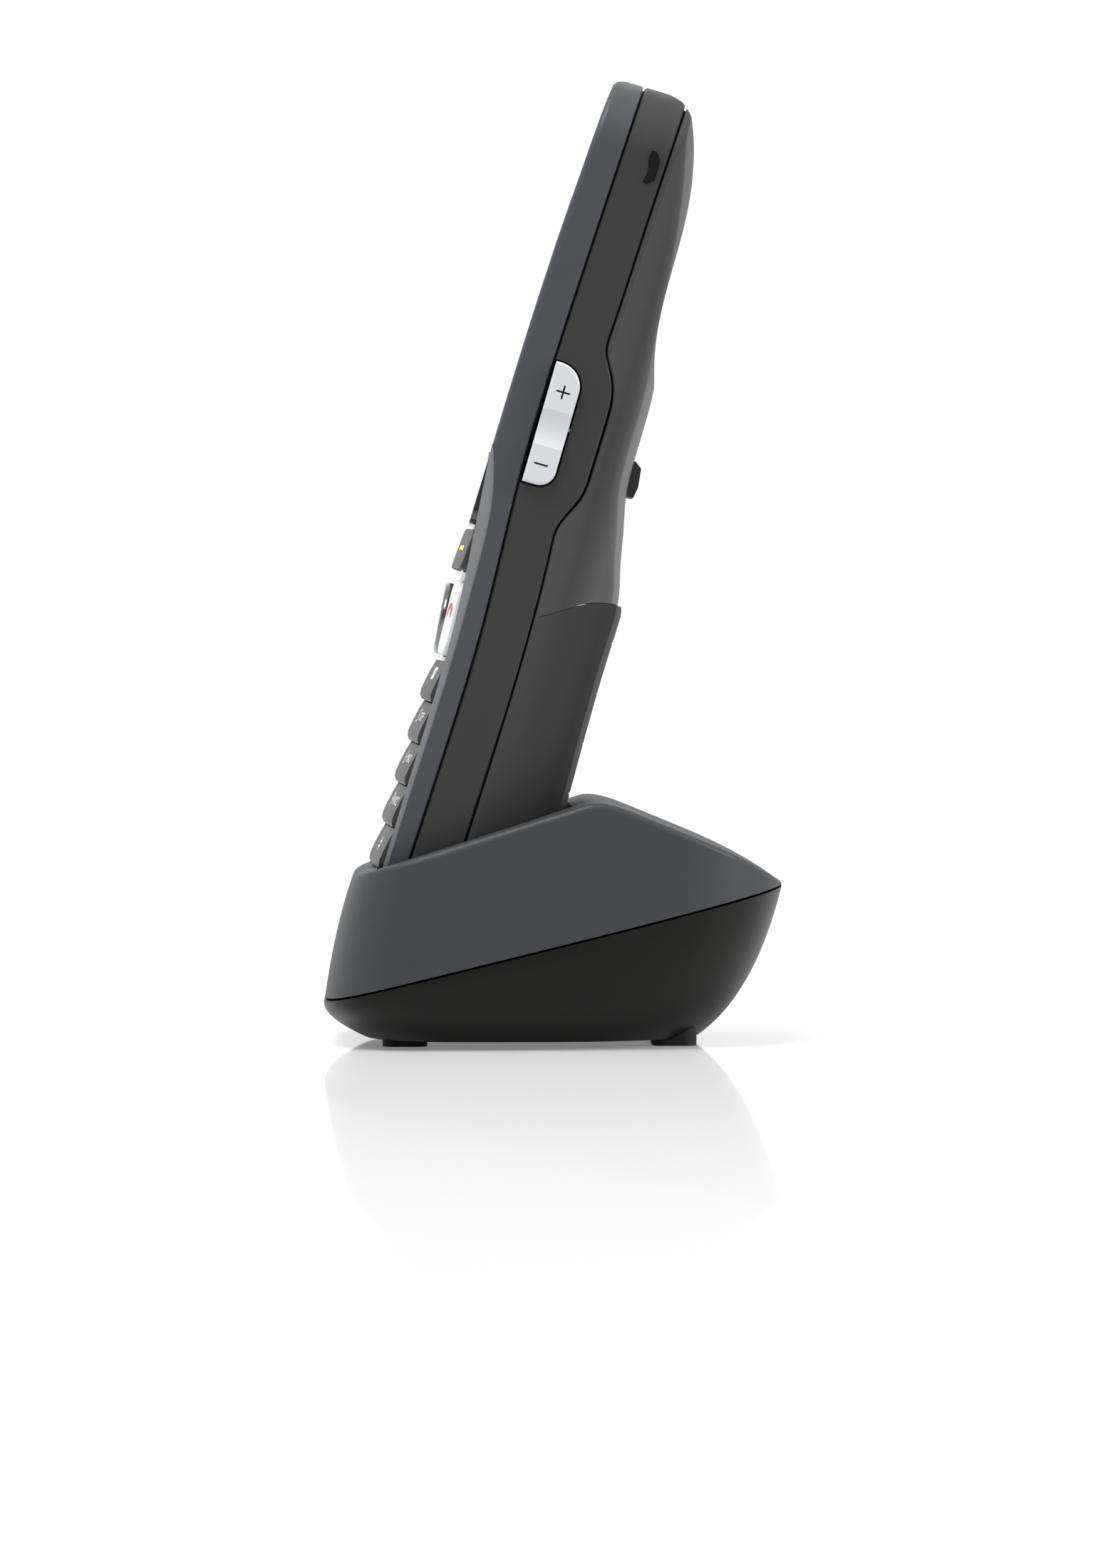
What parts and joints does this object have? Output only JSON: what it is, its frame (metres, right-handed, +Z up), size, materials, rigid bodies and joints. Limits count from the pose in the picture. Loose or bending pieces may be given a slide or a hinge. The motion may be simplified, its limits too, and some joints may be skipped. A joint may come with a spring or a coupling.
{
  "type": "cordless phone with charging cradle",
  "caption": "Rugged cordless handset with keypad, side volume rocker and ribbed grip, leaning back in an egg-shaped charging cradle.",
  "frame": {"origin": "on the floor under the middle of the cradle", "axes": "+Z up, the phone faces -Y, X runs across it, the volume rocker is on +X"},
  "size_m": [0.0742, 0.079, 0.1649],
  "materials": {
    "back_shell": "fine grain",
    "board": "solder mask",
    "cell": "sleeve",
    "contact": "gold plated",
    "cradle_base": "fine grain",
    "cradle_top": "fine grain",
    "dark_part": "matte",
    "foot": "matte",
    "front_shell": "fine satin",
    "grip": "soft touch",
    "iron": "plain",
    "key": "satin",
    "lens": "polished",
    "mat": "matte",
    "metal": "plain",
    "mid_shell": "matte",
    "panel": "satin",
    "ring": "polished",
    "screw": "zinc plated",
    "seal": "matte",
    "side_key": "satin",
    "surround": "satin"
  },
  "bodies": {
    "cradle": {"upper_shell": "cradle_top", "lower_shell": "cradle_base", "cradle_board": "board", "power_socket": "dark_part", "contact_block": "dark_part", "pin_springs": "metal", "ballast_weight": "iron", "rubber_feet": "foot", "case_screws": "screw"},
    "handset": {"antenna": "metal", "back_housing": "back_shell", "back_seal": "seal", "battery_cells": "cell", "battery_contacts": "contact", "battery_cover": "grip", "charge_pads": "contact", "control_panel": "panel", "display_lens": "lens", "display_module": "dark_part", "earpiece": "dark_part", "front_housing": "front_shell", "front_seal": "seal", "housing_screws": "screw", "keypad_mat": "mat", "keypad_surround": "surround", "latch_spring": "metal", "loudspeaker": "dark_part", "main_board": "board", "microphone": "dark_part", "mid_housing": "mid_shell", "rocker_pin": "metal", "shield_can": "metal", "side_key_switch": "dark_part", "socket_cover": "seal", "vibration_motor": "metal"},
    "end_key": {"end_key": "panel"},
    "function_key_left": {"function_key_left": "key"},
    "function_key_middle": {"function_key_middle": "key"},
    "function_key_right": {"function_key_right": "key"},
    "key_0": {"key_0": "key"},
    "key_1": {"key_1": "key"},
    "key_2": {"key_2": "key"},
    "key_3": {"key_3": "key"},
    "key_4": {"key_4": "key"},
    "key_5": {"key_5": "key"},
    "key_6": {"key_6": "key"},
    "key_7": {"key_7": "key"},
    "key_8": {"key_8": "key"},
    "key_9": {"key_9": "key"},
    "key_hash": {"key_hash": "key"},
    "key_star": {"key_star": "key"},
    "nav_ring": {"nav_ring": "ring"},
    "select_key": {"select_key": "key"},
    "soft_key_left": {"soft_key_left": "key"},
    "soft_key_right": {"soft_key_right": "key"},
    "talk_key": {"talk_key": "panel"},
    "volume_rocker": {"volume_rocker": "side_key"},
    "battery_latch": {"battery_latch": "back_shell"},
    "contact_pin_left": {"contact_pin_left": "contact"},
    "contact_pin_right": {"contact_pin_right": "contact"}
  },
  "joints": [
    {"name": "handset_lift", "type": "slide", "parent": "cradle", "child": "handset", "axis": [0, 0.279, 0.9603], "range_m": [0, 0.07]},
    {"name": "end_key_press", "type": "slide", "parent": "handset", "child": "end_key", "axis": [0, 0.9603, -0.279], "range_m": [0, 0.0003], "stiffness_N_per_m": 600},
    {"name": "function_key_left_press", "type": "slide", "parent": "handset", "child": "function_key_left", "axis": [0, 0.9603, -0.279], "range_m": [0, 0.0003], "stiffness_N_per_m": 600},
    {"name": "function_key_middle_press", "type": "slide", "parent": "handset", "child": "function_key_middle", "axis": [0, 0.9603, -0.279], "range_m": [0, 0.0003], "stiffness_N_per_m": 600},
    {"name": "function_key_right_press", "type": "slide", "parent": "handset", "child": "function_key_right", "axis": [0, 0.9603, -0.279], "range_m": [0, 0.0003], "stiffness_N_per_m": 600},
    {"name": "key_0_press", "type": "slide", "parent": "handset", "child": "key_0", "axis": [0, 0.9603, -0.279], "range_m": [0, 0.0003], "stiffness_N_per_m": 600},
    {"name": "key_1_press", "type": "slide", "parent": "handset", "child": "key_1", "axis": [0, 0.9603, -0.279], "range_m": [0, 0.0003], "stiffness_N_per_m": 600},
    {"name": "key_2_press", "type": "slide", "parent": "handset", "child": "key_2", "axis": [0, 0.9603, -0.279], "range_m": [0, 0.0003], "stiffness_N_per_m": 600},
    {"name": "key_3_press", "type": "slide", "parent": "handset", "child": "key_3", "axis": [0, 0.9603, -0.279], "range_m": [0, 0.0003], "stiffness_N_per_m": 600},
    {"name": "key_4_press", "type": "slide", "parent": "handset", "child": "key_4", "axis": [0, 0.9603, -0.279], "range_m": [0, 0.0003], "stiffness_N_per_m": 600},
    {"name": "key_5_press", "type": "slide", "parent": "handset", "child": "key_5", "axis": [0, 0.9603, -0.279], "range_m": [0, 0.0003], "stiffness_N_per_m": 600},
    {"name": "key_6_press", "type": "slide", "parent": "handset", "child": "key_6", "axis": [0, 0.9603, -0.279], "range_m": [0, 0.0003], "stiffness_N_per_m": 600},
    {"name": "key_7_press", "type": "slide", "parent": "handset", "child": "key_7", "axis": [0, 0.9603, -0.279], "range_m": [0, 0.0003], "stiffness_N_per_m": 600},
    {"name": "key_8_press", "type": "slide", "parent": "handset", "child": "key_8", "axis": [0, 0.9603, -0.279], "range_m": [0, 0.0003], "stiffness_N_per_m": 600},
    {"name": "key_9_press", "type": "slide", "parent": "handset", "child": "key_9", "axis": [0, 0.9603, -0.279], "range_m": [0, 0.0003], "stiffness_N_per_m": 600},
    {"name": "key_hash_press", "type": "slide", "parent": "handset", "child": "key_hash", "axis": [0, 0.9603, -0.279], "range_m": [0, 0.0003], "stiffness_N_per_m": 600},
    {"name": "key_star_press", "type": "slide", "parent": "handset", "child": "key_star", "axis": [0, 0.9603, -0.279], "range_m": [0, 0.0003], "stiffness_N_per_m": 600},
    {"name": "nav_ring_press", "type": "slide", "parent": "handset", "child": "nav_ring", "axis": [0, 0.9603, -0.279], "range_m": [0, 0.0003], "stiffness_N_per_m": 600},
    {"name": "select_key_press", "type": "slide", "parent": "handset", "child": "select_key", "axis": [0, 0.9603, -0.279], "range_m": [0, 0.0003], "stiffness_N_per_m": 600},
    {"name": "soft_key_left_press", "type": "slide", "parent": "handset", "child": "soft_key_left", "axis": [0, 0.9603, -0.279], "range_m": [0, 0.0003], "stiffness_N_per_m": 600},
    {"name": "soft_key_right_press", "type": "slide", "parent": "handset", "child": "soft_key_right", "axis": [0, 0.9603, -0.279], "range_m": [0, 0.0003], "stiffness_N_per_m": 600},
    {"name": "talk_key_press", "type": "slide", "parent": "handset", "child": "talk_key", "axis": [0, 0.9603, -0.279], "range_m": [0, 0.0003], "stiffness_N_per_m": 600},
    {"name": "volume_rock", "type": "hinge", "parent": "handset", "child": "volume_rocker", "pos_m": [0.0252, -0.00031, 0.10545], "axis": [0, 0.9603, -0.279], "range_deg": [-1.6, 1.6], "stiffness_Nm_per_rad": 0.1},
    {"name": "latch_slide", "type": "slide", "parent": "handset", "child": "battery_latch", "axis": [0, 0.279, 0.9603], "range_m": [0, 0.0025], "stiffness_N_per_m": 400},
    {"name": "contact_left_sink", "type": "slide", "parent": "cradle", "child": "contact_pin_left", "axis": [0, -0.279, -0.9603], "range_m": [0, 0.0008], "stiffness_N_per_m": 500},
    {"name": "contact_right_sink", "type": "slide", "parent": "cradle", "child": "contact_pin_right", "axis": [0, -0.279, -0.9603], "range_m": [0, 0.0008], "stiffness_N_per_m": 500}
  ]
}
